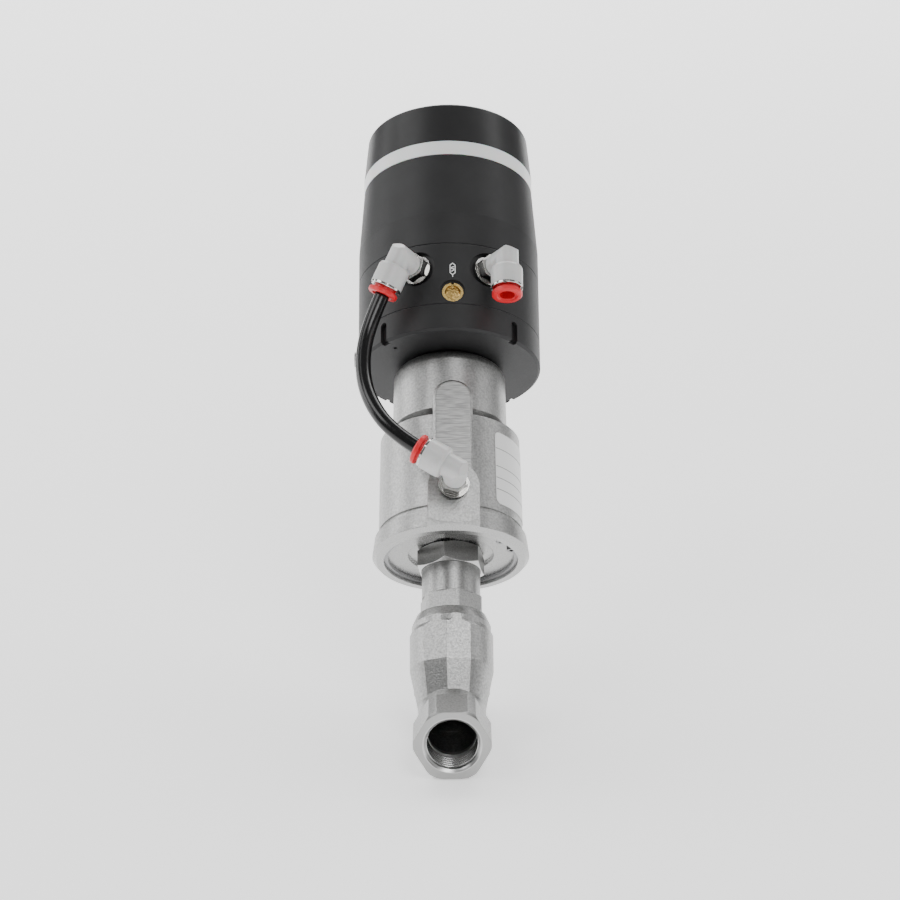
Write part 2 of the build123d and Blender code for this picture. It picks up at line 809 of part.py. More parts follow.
with BuildPart() as earth_screw:
    rod(earth_plane, 1.5, -base_wall - 0.8, base_wall + 1.6)
    rod(earth_plane, earth_head_r + 0.6, fit, 0.6)
    rod(earth_plane, earth_head_r, 0.6, 1.0)
    with BuildSketch(earth_plane.offset(1.6)) as cross:
        Rectangle(3.4, 0.7)
        Rectangle(0.7, 3.4)
    extrude(cross.sketch, amount=-0.8, mode=Mode.SUBTRACT)
save(earth_screw.part, "earth_screw")

# Seats of the three push-in fittings: x along the leg, z out along the post


def fitting_seat(offset, distance, height, axis_azimuth, swivel):
    """Seat plane of a fitting at a point on the actuator, its post at an azimuth, its leg swivelled."""
    turn, tip = radians(axis_azimuth), radians(swivel)
    origin = actuator_plane.from_local_coords(Vector(0, 0, 0))
    post_local = Vector(sin(turn), -cos(turn), 0)
    side = 1 if axis_azimuth > 0 else -1
    leg_local = Vector(side * cos(turn) * sin(tip), side * sin(turn) * sin(tip), -cos(tip))
    post = actuator_plane.from_local_coords(post_local) - origin
    leg = actuator_plane.from_local_coords(leg_local) - origin
    seat_centre = actuator_plane.from_local_coords(Vector(offset, -distance, height))
    return Plane(origin=seat_centre, x_dir=leg, z_dir=post)


fitting_distance = head_r - fitting_set_in
fitting_height = band_low + fitting_rise
supply_seat = fitting_seat(fitting_offset, fitting_distance, fitting_height, fitting_axis_angle, 0)
transfer_seat = fitting_seat(
    -fitting_offset, fitting_distance, fitting_height, -fitting_axis_angle, transfer_swivel
)
actuator_seat = fitting_seat(0, boss_distance, port_height, 0, actuator_swivel)
seats = (supply_seat, transfer_seat, actuator_seat)

silencer_plane = side_plane(band_low + silencer_rise, head_r, 0)
connector_plane = side_plane(band_low + connector_rise, head_r, 180)
band_inner_r = head_r - band_wall

with BuildPart() as port_ring:
    turned([
        (band_inner_r, band_low),
        (head_r - seam, band_low),
        (head_r, band_low + seam),
        (head_r, band_high - seam),
        (head_r - seam, band_high),
        (band_inner_r, band_high),
    ])
    for seat in (supply_seat, transfer_seat):
        rod(seat.offset(-1.5), spot_face_r - 0.3, -6.0, 6.0)
    rod(silencer_plane, silencer_r + 1.2, -silencer_length - 2.5, silencer_length + 1.0)
    for seat in (supply_seat, transfer_seat):
        drill(seat, spot_face_r, 6, 6)
        drill(seat, fitting_thread_r + fit, 1, fitting_thread_length + 1.2)
        drill(seat, 1.7, 0, 12)
    drill(silencer_plane, silencer_r + 0.75, 1, 2.2)
    drill(silencer_plane, silencer_r + fit, 0, silencer_length + 1.2)
    drill(silencer_plane, 1.7, 0, 14)
    drill(connector_plane, 5.2, 1, band_wall + 3)
    with BuildSketch(connector_plane.offset(1)) as connector_land:
        Circle(9.2)
    extrude(connector_land.sketch, amount=-2.4, mode=Mode.SUBTRACT)
save(port_ring.part, "port_ring")

with BuildPart() as silencer:
    rod(silencer_plane, silencer_r, -1.2 - silencer_length, silencer_length)
    drill(silencer_plane, silencer_r - 1.1, 0, 3.4)
    drill(silencer_plane, silencer_r - 1.9, 0, 10)
    with BuildSketch(silencer_plane.offset(-1.2)) as driver_slot:
        Rectangle(1.0, 2 * silencer_r + 1)
    extrude(driver_slot.sketch, amount=-1.0, mode=Mode.SUBTRACT)
save(silencer.part, "silencer")

with BuildPart() as silencer_core:
    rod(silencer_plane, silencer_r - 1.1 - fit, -3.35, 1.6)
save(silencer_core.part, "silencer_core")

with BuildPart() as connector:
    rod(connector_plane, 9.0, -1.35, 3.2)
    rod(connector_plane, connector_r, 1, connector_reach - 1)
    rod(connector_plane, 5.1, -band_wall - 1.5, band_wall + 1.5)
    drill(connector_plane, connector_r - 1.1, connector_reach + 1, connector_reach + 1)
    drill(connector_plane, 4.0, 1, band_wall + 3)
    with BuildSketch(connector_plane.offset(1.9)) as connector_flats:
        Circle(12)
        RegularPolygon(8.5, 6, major_radius=False, mode=Mode.SUBTRACT)
    extrude(connector_flats.sketch, amount=-1.4, mode=Mode.SUBTRACT)
save(connector.part, "connector")

with BuildPart() as connector_insert:
    rod(connector_plane, 3.95, -band_wall, band_wall + 2)
    rod(connector_plane, connector_r - 1.15, fit, 2)
    for x, y in ((0, 0), (2, 2), (2, -2), (-2, 2), (-2, -2)):
        with BuildSketch(connector_plane.offset(-band_wall - 2)) as pin:
            with Locations((x, y)):
                Circle(0.5)
        extrude(pin.sketch, amount=band_wall + connector_reach)
save(connector_insert.part, "connector_insert")

shell_low = band_high + fit
light_low = taper_high + face_gap
spigot_inner_r = cover_spigot_r - 2.4

with BuildPart() as head_shell:
    turned([
        (head_r - shell_wall, shell_low),
        (head_r - seam, shell_low),
        (head_r, shell_low + seam),
        (head_r, taper_low),
        (taper_r, taper_high),
        (cover_spigot_r, taper_high),
        (cover_spigot_r, cover_spigot_top),
        (spigot_inner_r, cover_spigot_top),
        (spigot_inner_r, taper_high - 2),
        (head_r - shell_wall, taper_low),
    ])
save(head_shell.part, "head_shell")

with BuildPart() as control_board:
    rod(stem_plane, cover_spigot_r - 1.0, cover_spigot_top, board_thickness)
    with BuildSketch(actuator_plane.offset(cover_spigot_top + board_thickness)) as chips:
        with Locations((-10, 8)):
            Rectangle(10, 10)
        with Locations((12, -9)):
            Rectangle(7, 5)
    extrude(chips.sketch, amount=1.4)
    with BuildSketch(actuator_plane.offset(cover_spigot_top + board_thickness)) as terminals:
        with Locations((9, 12)):
            Rectangle(18, 7)
    extrude(terminals.sketch, amount=4.5)
    with BuildSketch(actuator_plane.offset(cover_spigot_top + board_thickness)) as lamps:
        with PolarLocations(cover_spigot_r - 3, 12, 15):
            Rectangle(1.6, 3)
    extrude(lamps.sketch, amount=0.9)
save(control_board.part, "control_board")

with BuildPart() as pilot_valves:
    with BuildSketch(stem_plane.offset(floor_top)) as bodies:
        with Locations((-pilot_distance, -pilot_pitch / 2), (-pilot_distance, pilot_pitch / 2)):
            Rectangle(pilot_width, pilot_width)
    extrude(bodies.sketch, amount=pilot_height)
    with BuildSketch(stem_plane.offset(floor_top + pilot_height)) as coils:
        with Locations((-pilot_distance, -pilot_pitch / 2), (-pilot_distance, pilot_pitch / 2)):
            Circle(0.375 * pilot_width)
    extrude(coils.sketch, amount=4)
save(pilot_valves.part, "pilot_valves")

with BuildPart() as position_sensor:
    with BuildSketch(stem_plane.offset(floor_top)) as sensor_body:
        with Locations((magnet_r + 1.3 + 2.7, 0)):
            Rectangle(5.4, 8)
    extrude(sensor_body.sketch, amount=sensor_height)
save(position_sensor.part, "position_sensor")

cover_inner_r = cover_spigot_r + cover_wall_gap
o_ring_section = 0.86

with BuildPart() as light_ring:
    turned([
        (cover_inner_r, light_low),
        (taper_r, light_low),
        (taper_r + 0.05, light_ring_top),
        (cover_inner_r + 1.0, light_ring_top),
        (cover_inner_r + 1.0, light_ring_top - 1.2),
        (cover_inner_r, light_ring_top - 1.2),
    ])
save(light_ring.part, "light_ring")

with BuildPart() as cover_cap:
    turned([
        (0, cap_top - cap_roof),
        (cover_inner_r, cap_top - cap_roof),
        (cover_inner_r, cover_seal_height + 1.0),
        (cover_spigot_r + 1.85, cover_seal_height + 1.0),
        (cover_spigot_r + 1.85, cover_seal_height - 1.0),
        (cover_inner_r, cover_seal_height - 1.0),
        (cover_inner_r, light_ring_top - 1.2 + fit),
        (cover_inner_r + 1.0 - fit, light_ring_top - 1.2 + fit),
        (cover_inner_r + 1.0 - fit, light_ring_top + fit),
        (taper_r + cap_overhang, light_ring_top + fit),
        (taper_r + cap_overhang - cap_draft, cap_top),
        (0, cap_top),
    ])
    cap_rim = cover_cap.edges().filter_by(GeomType.CIRCLE).sort_by(stem_axis)[-1]
    fillet(cap_rim, cap_fillet)
save(cover_cap.part, "cover_cap")

with BuildPart() as cover_o_ring:
    o_ring(cover_spigot_r + running + o_ring_section, cover_seal_height, o_ring_section)
save(cover_o_ring.part, "cover_o_ring")

# ---- Push-in fittings ----

hex_low = 1.6
hex_high = 5.7
stud_barrel_top = 9.6
stud_collar_r = 6.0
washer = 0.8
passage = 1.6
tube_socket_r = tube_r + 0.08
pocket_r = 4.6
pocket_start = 8.5
collar_start = 11.2


def along_leg(seat, distance):
    """A point on the centre line of an elbow's leg."""
    return seat.origin + seat.z_dir * post_height + seat.x_dir * distance


def leg_section(seat):
    """Half section of an elbow's leg: x out along the post, y along the leg."""
    return Plane(origin=along_leg(seat, 0), x_dir=seat.z_dir, z_dir=seat.z_dir.cross(seat.x_dir))


def leg_turned(seat, points, mode=Mode.ADD):
    """Turn a closed outline, given as radius and distance from the crossing, about the leg."""
    half = leg_section(seat)
    turned(points, plane=half, axis=Axis(half.origin, seat.x_dir), mode=mode)


def stud(seat):
    """Threaded stud with its collar, hexagon and the barrel that the elbow turns on."""
    rod(seat, fitting_thread_r, -fitting_thread_length, fitting_thread_length + washer)
    rod(seat, stud_collar_r, washer, hex_low - washer)
    with BuildSketch(seat.offset(hex_low)) as flats:
        RegularPolygon(stud_flats / 2, 6, major_radius=False, rotation=15)
        Circle(stud_flats / sqrt(3) - 0.25, mode=Mode.INTERSECT)
    extrude(flats.sketch, amount=hex_high - hex_low)
    rod(seat, 3.2, hex_high, stud_barrel_top - hex_high)
    drill(seat, passage, stud_barrel_top + 1, stud_barrel_top + fitting_thread_length + 2)


def elbow(seat):
    """Moulded elbow: a mitred post and leg with its corner cut off, and a sleeve for the tube."""
    neck_start = hex_high + 0.15
    with BuildLine() as route:
        Polyline(
            seat.origin + seat.z_dir * post_neck_end,
            along_leg(seat, 0),
            along_leg(seat, sleeve_start + 0.6),
        )
    with BuildSketch(seat.offset(post_neck_end)) as post_section:
        Circle(leg_r)
    sweep(post_section.sketch, path=route.line, transition=Transition.RIGHT, mode=Mode.ADD)
    outwards = (seat.z_dir - seat.x_dir).normalized()
    corner = Plane(origin=along_leg(seat, 0) + outwards * corner_cut, z_dir=outwards)
    split(bisect_by=corner, keep=Keep.BOTTOM)
    rod(seat, post_neck_r, neck_start, post_neck_end - neck_start + 1)
    leg_turned(seat, [
        (0, sleeve_start),
        (sleeve_r - 1.2, sleeve_start),
        (sleeve_r - 0.35, sleeve_start + 0.35),
        (sleeve_r, sleeve_start + 1.2),
        (sleeve_r, sleeve_end),
        (0, sleeve_end),
    ])
    drill(seat, 3.2 + fit, stud_barrel_top + 0.3, stud_barrel_top)
    drill(seat, passage, post_height, 6)
    leg_turned(seat, [
        (0, -passage),
        (passage, 0),
        (passage, socket_end),
        (tube_socket_r, socket_end),
        (tube_socket_r, pocket_start),
        (pocket_r, pocket_start),
        (pocket_r, sleeve_end + 1),
        (0, sleeve_end + 1),
    ], mode=Mode.SUBTRACT)


def retaining_ring(seat):
    """Metal ring round the mouth of an elbow, notched where the grip teeth are formed."""
    leg_turned(seat, [
        (pocket_r + 0.05, sleeve_end),
        (sleeve_r - 0.1, sleeve_end),
        (sleeve_r - 0.1, sleeve_end + ring_length - 0.2),
        (sleeve_r - 0.3, sleeve_end + ring_length),
        (pocket_r + 0.05, sleeve_end + ring_length),
    ])
    ring_face = Plane(origin=along_leg(seat, sleeve_end + ring_length), x_dir=seat.z_dir, z_dir=seat.x_dir)
    with BuildSketch(ring_face) as notches:
        with PolarLocations(sleeve_r, ring_notches, 180 / ring_notches):
            Rectangle(1.6, 1.4)
    extrude(notches.sketch, amount=-0.6 * ring_length, mode=Mode.SUBTRACT)


def collar(seat):
    """Release collar round the tube, pressed in to free it."""
    flange_start = leg_length - collar_flange
    leg_turned(seat, [
        (tube_socket_r, collar_start),
        (pocket_r - 0.1, collar_start),
        (pocket_r - 0.1, flange_start),
        (collar_flange_r - 0.4, flange_start),
        (collar_flange_r, flange_start + 0.4),
        (collar_flange_r, leg_length - 0.5),
        (collar_flange_r - 0.5, leg_length),
        (tube_socket_r + 1.0, leg_length),
        (tube_socket_r + 0.7, leg_length - 0.5),
        (tube_socket_r, leg_length - 0.5),
    ])


def tube_seal(seat):
    """Lip seal round the end of the tube."""
    leg_turned(seat, [
        (tube_socket_r, pocket_start + fit),
        (pocket_r - fit, pocket_start + fit),
        (pocket_r - fit, pocket_start + 1.3),
        (tube_socket_r + 0.5, pocket_start + 1.3),
        (tube_socket_r, pocket_start + 0.9),
    ])


with BuildPart() as fitting_studs:
    for seat in seats:
        stud(seat)
save(fitting_studs.part, "fitting_studs")

with BuildPart() as fitting_washers:
    for seat in seats:
        rod(seat, stud_collar_r - 0.2, 0, washer - fit / 2)
    for seat in seats:
        drill(seat, fitting_thread_r + fit, washer + 1, washer + 2)
save(fitting_washers.part, "fitting_washers")

with BuildPart() as supply_elbow:
    elbow(supply_seat)
save(supply_elbow.part, "supply_elbow")

with BuildPart() as transfer_elbow:
    elbow(transfer_seat)
save(transfer_elbow.part, "transfer_elbow")

with BuildPart() as actuator_elbow:
    elbow(actuator_seat)
save(actuator_elbow.part, "actuator_elbow")

with BuildPart() as supply_ring:
    retaining_ring(supply_seat)
save(supply_ring.part, "supply_ring")

with BuildPart() as tube_fitting_rings:
    retaining_ring(transfer_seat)
    retaining_ring(actuator_seat)
save(tube_fitting_rings.part, "tube_fitting_rings")

with BuildPart() as supply_collar:
    collar(supply_seat)
save(supply_collar.part, "supply_collar")

with BuildPart() as transfer_collar:
    collar(transfer_seat)
save(transfer_collar.part, "transfer_collar")

with BuildPart() as actuator_collar:
    collar(actuator_seat)
save(actuator_collar.part, "actuator_collar")

with BuildPart() as supply_seal:
    tube_seal(supply_seat)
save(supply_seal.part, "supply_seal")

with BuildPart() as tube_seals:
    tube_seal(transfer_seat)
    tube_seal(actuator_seat)
save(tube_seals.part, "tube_seals")

# ---- Air tube from the head to the actuator: straight runs joined by tangent bends ----

tube_end = leg_length - tube_depth
first_run = 19.0
last_run = 18.0
bend_share = 0.45             # of the shorter run that a bend may use
tube_bore_r = 2.0


tube_route = [
    along_leg(transfer_seat, tube_end),
    along_leg(transfer_seat, tube_end + first_run),
    actuator_plane.from_local_coords(Vector(-36.0, -37.0, 129.5)),
    actuator_plane.from_local_coords(Vector(-33.0, -41.5, 110.0)),
    along_leg(actuator_seat, tube_end + last_run),
    along_leg(actuator_seat, tube_end),
]
bend_radii = []
for before, bend, after in zip(tube_route, tube_route[1:], tube_route[2:]):
    run_in, run_out = bend - before, after - bend
    shorter = min(run_in.length, run_out.length)
    bend_radii.append(bend_share * shorter / tan(radians(run_in.get_angle(run_out) / 2)))
print("air tube route", [tuple(round(value, 3) for value in point) for point in tube_route])
print("air tube bend radii", [round(radius, 2) for radius in bend_radii])

with BuildPart() as air_tube:
    with BuildLine() as tube_line:
        FilletPolyline(*tube_route, radius=bend_radii)
    with BuildSketch(Plane(origin=tube_route[0], z_dir=transfer_seat.x_dir)):
        Circle(tube_r)
        Circle(tube_bore_r, mode=Mode.SUBTRACT)
    sweep(path=tube_line.line)
print("air tube length", round(tube_line.wire().length, 2))
print("air tube volume", round(air_tube.part.volume, 1))
save(air_tube.part, "air_tube")
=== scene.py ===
import json
from math import cos, pi, radians, sin

import bpy
import numpy as np
from mathutils import Matrix, Vector


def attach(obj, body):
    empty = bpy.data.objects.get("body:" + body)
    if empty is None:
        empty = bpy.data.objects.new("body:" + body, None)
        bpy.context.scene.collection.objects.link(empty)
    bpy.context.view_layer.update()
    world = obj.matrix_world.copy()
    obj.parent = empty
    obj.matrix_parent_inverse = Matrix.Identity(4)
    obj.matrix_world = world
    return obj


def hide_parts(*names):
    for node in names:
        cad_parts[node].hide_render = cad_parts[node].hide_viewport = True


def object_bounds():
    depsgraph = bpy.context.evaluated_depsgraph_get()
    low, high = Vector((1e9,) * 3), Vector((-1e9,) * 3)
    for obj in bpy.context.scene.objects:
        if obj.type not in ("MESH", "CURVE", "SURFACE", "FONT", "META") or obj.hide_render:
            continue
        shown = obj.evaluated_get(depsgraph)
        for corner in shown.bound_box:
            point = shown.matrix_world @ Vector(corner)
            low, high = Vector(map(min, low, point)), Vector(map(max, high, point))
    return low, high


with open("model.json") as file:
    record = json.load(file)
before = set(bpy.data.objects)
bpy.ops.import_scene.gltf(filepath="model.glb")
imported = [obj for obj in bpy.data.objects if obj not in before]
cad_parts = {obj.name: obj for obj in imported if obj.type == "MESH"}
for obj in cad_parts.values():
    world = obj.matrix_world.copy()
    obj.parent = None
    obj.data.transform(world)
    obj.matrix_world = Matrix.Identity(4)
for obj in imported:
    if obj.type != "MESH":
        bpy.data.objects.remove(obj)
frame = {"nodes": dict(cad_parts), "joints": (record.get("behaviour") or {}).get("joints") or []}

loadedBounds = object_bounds()
nodes = frame["nodes"]
joints = {joint["name"]: joint for joint in frame["joints"]}
mm = 0.001

# The pipe runs along Y and the stem leans back from it. Sizes are in millimetres, and a height is
# measured up the stem from the point where it crosses the pipe.
stemUp = np.array(joints["stem_travel"]["axis"])
stemFoot = np.array(joints["actuator_turn"]["pos_m"]) / mm
across = np.array([1.0, 0.0, 0.0])
stemFront = np.cross(across, stemUp)
headTurn = radians(2.5)  # the actuator stands turned on its neck
headAcross = across * cos(headTurn) - stemFront * sin(headTurn)
headFront = stemFront * cos(headTurn) + across * sin(headTurn)


# Row-frame place of points given across, ahead and up on the actuator.
def headPoint(x, ahead, height):
    x, ahead, height = (np.asarray(value, float)[..., None] for value in (x, ahead, height))
    return stemFoot + x * headAcross + ahead * headFront + height * stemUp


# Camera: a long lens, slightly rolled, looking down on the inlet
cameraSetup = {"position": (0.0, -1.0172, 0.460), "down": 18.7, "roll": 0.45, "lens": 120.0}


def addCamera(setup):
    data = bpy.data.cameras.new("camera")
    data.lens = setup["lens"]
    data.sensor_width = 36.0
    data.clip_end = 50.0
    camera = bpy.data.objects.new("camera", data)
    bpy.context.scene.collection.objects.link(camera)
    tilt = Matrix.Rotation(radians(90.0 - setup["down"]), 4, "X")
    roll = Matrix.Rotation(-radians(setup["roll"]), 4, "Z")
    camera.matrix_world = Matrix.Translation(setup["position"]) @ tilt @ roll
    bpy.context.scene.camera = camera


addCamera(cameraSetup)
print("camera placed")


# sRGB hex colour to the linear values that a shader takes
def toLinear(hexColour):
    parts = [int(hexColour[i:i + 2], 16) / 255 for i in (1, 3, 5)]
    linear = [v / 12.92 if v <= 0.04045 else ((v + 0.055) / 1.055) ** 2.4 for v in parts]
    return (*linear, 1.0)


# Fills sockets with values, colours or links
def fillSockets(tree, node, values):
    for name, value in values.items():
        if isinstance(value, bpy.types.NodeSocket):
            tree.links.new(value, node.inputs[name])
        else:
            node.inputs[name].default_value = toLinear(value) if isinstance(value, str) else value


# Adds a node with its settings and inputs, and gives back one output
def addNode(tree, kind, inputs, out=0, **settings):
    node = tree.nodes.new("ShaderNode" + kind)
    for name, value in settings.items():
        setattr(node, name, value)
    fillSockets(tree, node, inputs)
    return node.outputs[out]


# Places on the object that masks and tool lines follow, all in millimetres:
# along is the distance past a point in a direction, round the distance from an axis through it
def along(tree, coords, origin, direction):
    moved = addNode(tree, "VectorMath", {0: coords, 1: np.asarray(origin) * mm}, operation="SUBTRACT")
    return addNode(tree, "VectorMath", {0: moved, 1: np.asarray(direction) / mm}, 1, operation="DOT_PRODUCT")


def roundAxis(tree, coords, origin, direction):
    moved = addNode(tree, "VectorMath", {0: coords, 1: np.asarray(origin) * mm}, operation="SUBTRACT")
    crossed = addNode(tree, "VectorMath", {0: moved, 1: np.asarray(direction) / mm}, operation="CROSS_PRODUCT")
    return addNode(tree, "VectorMath", {0: crossed}, 1, operation="LENGTH")


# One where every value lies past its edge, zero where any lies before it, smooth between
def maskOf(tree, *rules):
    total = None
    for value, start, full in rules:
        rise = addNode(tree, "MapRange", {"Value": value, "From Min": start, "From Max": full},
                       interpolation_type="SMOOTHSTEP")
        total = rise if total is None else addNode(tree, "Math", {0: total, 1: rise}, operation="MULTIPLY")
    return total


# Colour, roughness and normal of one finish. Its keys:
# colour, and tint where the colour wanders towards a second one in patches of the size "cloud"
# rough, lowest and highest; grain and depth, size and height of the surface's unevenness
# fine, a second, smaller grain; edge, radius of broken edges; feed, spacing of tool lines
def surfaceFinish(tree, coords, spec, path=None):
    grain = addNode(tree, "TexNoise", {"Vector": coords, "Scale": 1 / (spec["grain"] * mm), "Detail": 2.0,
                                       "Roughness": 0.6})
    rough = addNode(tree, "MapRange", {"Value": grain, "From Min": 0.3, "From Max": 0.7,
                                       "To Min": spec["rough"][0], "To Max": spec["rough"][1]})
    normal = addNode(tree, "Bevel", {"Radius": spec["edge"] * mm}, samples=4)
    if "feed" in spec:
        phase = addNode(tree, "Math", {0: path, 1: 2 * pi / spec["feed"]}, operation="MULTIPLY")
        lines = addNode(tree, "Math", {0: phase}, operation="SINE")
        normal = addNode(tree, "Bump", {"Height": lines, "Distance": spec.get("line", 0.004) * mm, "Normal": normal})
    if "fine" in spec:
        fine = addNode(tree, "TexNoise", {"Vector": coords, "Scale": 1 / (spec["fine"] * mm), "Detail": 1.0})
        normal = addNode(tree, "Bump", {"Height": fine, "Distance": 0.35 * spec["depth"] * mm, "Normal": normal})
    normal = addNode(tree, "Bump", {"Height": grain, "Distance": spec["depth"] * mm, "Normal": normal})
    colour = spec["colour"]
    if "tint" in spec:
        cloud = addNode(tree, "TexNoise", {"Vector": coords, "Scale": 1 / (spec["cloud"] * mm), "Detail": 3.0})
        cloud = addNode(tree, "MapRange", {"Value": cloud, "From Min": 0.35, "From Max": 0.65})
        colour = addNode(tree, "Mix", {0: cloud, 6: colour, 7: spec["tint"]}, 2, data_type="RGBA")
    return colour, rough, normal


# One finish laid over another where a mask is one
def layFinish(tree, mask, under, over):
    colour = addNode(tree, "Mix", {0: mask, 6: under[0], 7: over[0]}, 2, data_type="RGBA")
    rough = addNode(tree, "Mix", {0: mask, 2: under[1], 3: over[1]})
    normal = addNode(tree, "Mix", {0: mask, 4: under[2], 5: over[2]}, 1, data_type="VECTOR")
    return colour, rough, normal


# A new material, its node tree, the object's own coordinates and the surface's direction
def startMaterial(name):
    material = bpy.data.materials.new(name)
    material.use_nodes = True
    tree = material.node_tree
    coords = addNode(tree, "TexCoord", {}, "Object")
    facing = coords.node.outputs["Normal"]
    return material, tree, coords, facing


# Links a finish and plain values to the material's shader
def endMaterial(material, tree, finish, **values):
    sockets = {"Base Color": finish[0], "Roughness": finish[1], "Normal": finish[2]}
    sockets.update({name.replace("_", " "): value for name, value in values.items()})
    fillSockets(tree, tree.nodes["Principled BSDF"], sockets)
    return material


# Stainless 316L, investment cast and glass-bead blasted: grey, with an uneven grain that breaks up highlights.
blastedCast = {"colour": "#b8b8b7", "tint": "#9c9c9b", "cloud": 0.8, "rough": (0.32, 0.44), "grain": 0.85,
               "fine": 0.4, "depth": 0.085, "edge": 0.40}
# The same steel faced and bored on a lathe: smoother and lighter, with fine circles.
facedCast = {"colour": "#a6a6a5", "rough": (0.30, 0.40), "grain": 0.35, "depth": 0.010, "edge": 0.25, "feed": 0.30,
             "line": 0.003}
boredCast = {"colour": "#d0d0cf", "rough": (0.28, 0.36), "grain": 0.8, "depth": 0.006, "edge": 0.10, "feed": 0.9,
             "line": 0.012}


def makeValveSteel():
    material, tree, coords, facing = startMaterial("blastedCastStainlessValve")
    radius = roundAxis(tree, coords, (0, 0, 0), (0, 1, 0))
    fromMiddle = addNode(tree, "Math", {0: along(tree, coords, stemFoot, (0, 1, 0))}, operation="ABSOLUTE")
    finish = surfaceFinish(tree, coords, blastedCast)
    atFace = maskOf(tree, (fromMiddle, 33.1, 33.2))
    finish = layFinish(tree, atFace, finish, surfaceFinish(tree, coords, facedCast, radius))
    inBore = maskOf(tree, (radius, 11.3, 10.9), (fromMiddle, 19.0, 19.5))
    finish = layFinish(tree, inBore, finish, surfaceFinish(tree, coords, boredCast, fromMiddle))
    return endMaterial(material, tree, finish, Metallic=1.0)


# Rib face as the cutter left it: short cross lines that waver, bumped in, with painted shade darkening the colour in
# their grooves; the drawn spacing is coarse enough to show.
milledRib = {"colour": "#b4b4b3", "rough": (0.30, 0.42), "grain": 0.35, "depth": 0.012, "edge": 0.5}
milledLinesWithGrooveShade = {"pitch": 0.7, "length": 6.0, "depth": 0.05, "paintedGrooveShade": "#979796"}
# Cone between wall and dome: cut smooth, with its colour darkened to paint in the reflection of the black head above
# it.
smoothShoulderPaintedReflection = {"colour": "#8a8a89", "rough": (0.26, 0.32), "grain": 0.6, "depth": 0.006, "edge": 0.25}
# Underside of the flange: turned, with fine circles.
turnedUnder = {"colour": "#b0b0af", "rough": (0.24, 0.32), "grain": 0.5, "depth": 0.006, "edge": 0.35, "feed": 0.35}


def makeHousingSteel():
    material, tree, coords, facing = startMaterial("blastedCastStainlessHousing")
    height = along(tree, coords, stemFoot, stemUp)
    ahead = along(tree, coords, stemFoot, headFront)
    aside = along(tree, coords, stemFoot, headAcross)
    radius = roundAxis(tree, coords, stemFoot, stemUp)
    up = addNode(tree, "VectorMath", {0: facing, 1: stemUp}, 1, operation="DOT_PRODUCT")
    front = addNode(tree, "VectorMath", {0: facing, 1: headFront}, 1, operation="DOT_PRODUCT")
    finish = surfaceFinish(tree, coords, blastedCast)
    # Painted reflection: the upward-facing cone between wall and dome takes a darker colour for the black head it
    # mirrors.
    onPaintedReflectionShoulder = maskOf(tree, (height, 112.3, 112.7), (height, 118.1, 117.7), (up, 0.45, 0.55))
    finish = layFinish(tree, onPaintedReflectionShoulder, finish, surfaceFinish(tree, coords, smoothShoulderPaintedReflection))
    onUnder = maskOf(tree, (up, -0.4, -0.5), (height, 63.6, 63.4), (radius, 31.0, 30.7))
    finish = layFinish(tree, onUnder, finish, surfaceFinish(tree, coords, turnedUnder, radius))
    milled = surfaceFinish(tree, coords, milledRib)
    stretched = addNode(tree, "CombineXYZ", {
        0: addNode(tree, "Math", {0: aside, 1: milledLinesWithGrooveShade["length"]}, operation="DIVIDE"),
        1: addNode(tree, "Math", {0: height, 1: milledLinesWithGrooveShade["pitch"]}, operation="DIVIDE")})
    lines = addNode(tree, "TexNoise", {"Vector": stretched, "Scale": 1.0, "Detail": 1.0})
    cutLines = addNode(tree, "Bump", {"Height": lines, "Distance": milledLinesWithGrooveShade["depth"] * mm, "Normal": milled[2]})
    # Painted shade: where the lines' bump runs low, in the grooves, the colour darkens towards the groove shade colour.
    inLine = addNode(tree, "MapRange", {"Value": lines, "From Min": 0.38, "From Max": 0.62})
    paintedGrooveShade = addNode(tree, "Mix", {0: inLine, 6: milledLinesWithGrooveShade["paintedGrooveShade"], 7: milled[0]}, 2, data_type="RGBA")
    onRib = maskOf(tree, (front, 0.985, 0.995), (ahead, 27.0, 27.4), (ahead, 30.5, 30.2))
    finish = layFinish(tree, onRib, finish, (paintedGrooveShade, milled[1], cutLines))
    return endMaterial(material, tree, finish, Metallic=1.0)


# Clamp nut from drawn hexagon bar: grey, plain flats and bright turned chamfers.
drawnFlats = {"colour": "#b0b0af", "tint": "#9a9a99", "cloud": 0.5, "rough": (0.30, 0.42), "grain": 0.4, "depth": 0.03,
              "edge": 0.2}
turnedChamfer = {"colour": "#c6c6c5", "rough": (0.18, 0.26), "grain": 0.4, "depth": 0.004, "edge": 0.3, "feed": 0.3}


def makeNutSteel():
    material, tree, coords, facing = startMaterial("drawnStainlessHexagon")
    up = addNode(tree, "VectorMath", {0: facing, 1: stemUp}, 1, operation="DOT_PRODUCT")
    tilt = addNode(tree, "Math", {0: up}, operation="ABSOLUTE")
    radius = roundAxis(tree, coords, stemFoot, stemUp)
    finish = layFinish(tree, maskOf(tree, (tilt, 0.2, 0.35)), surfaceFinish(tree, coords, drawnFlats),
                       surfaceFinish(tree, coords, turnedChamfer, radius))
    return endMaterial(material, tree, finish, Metallic=1.0)


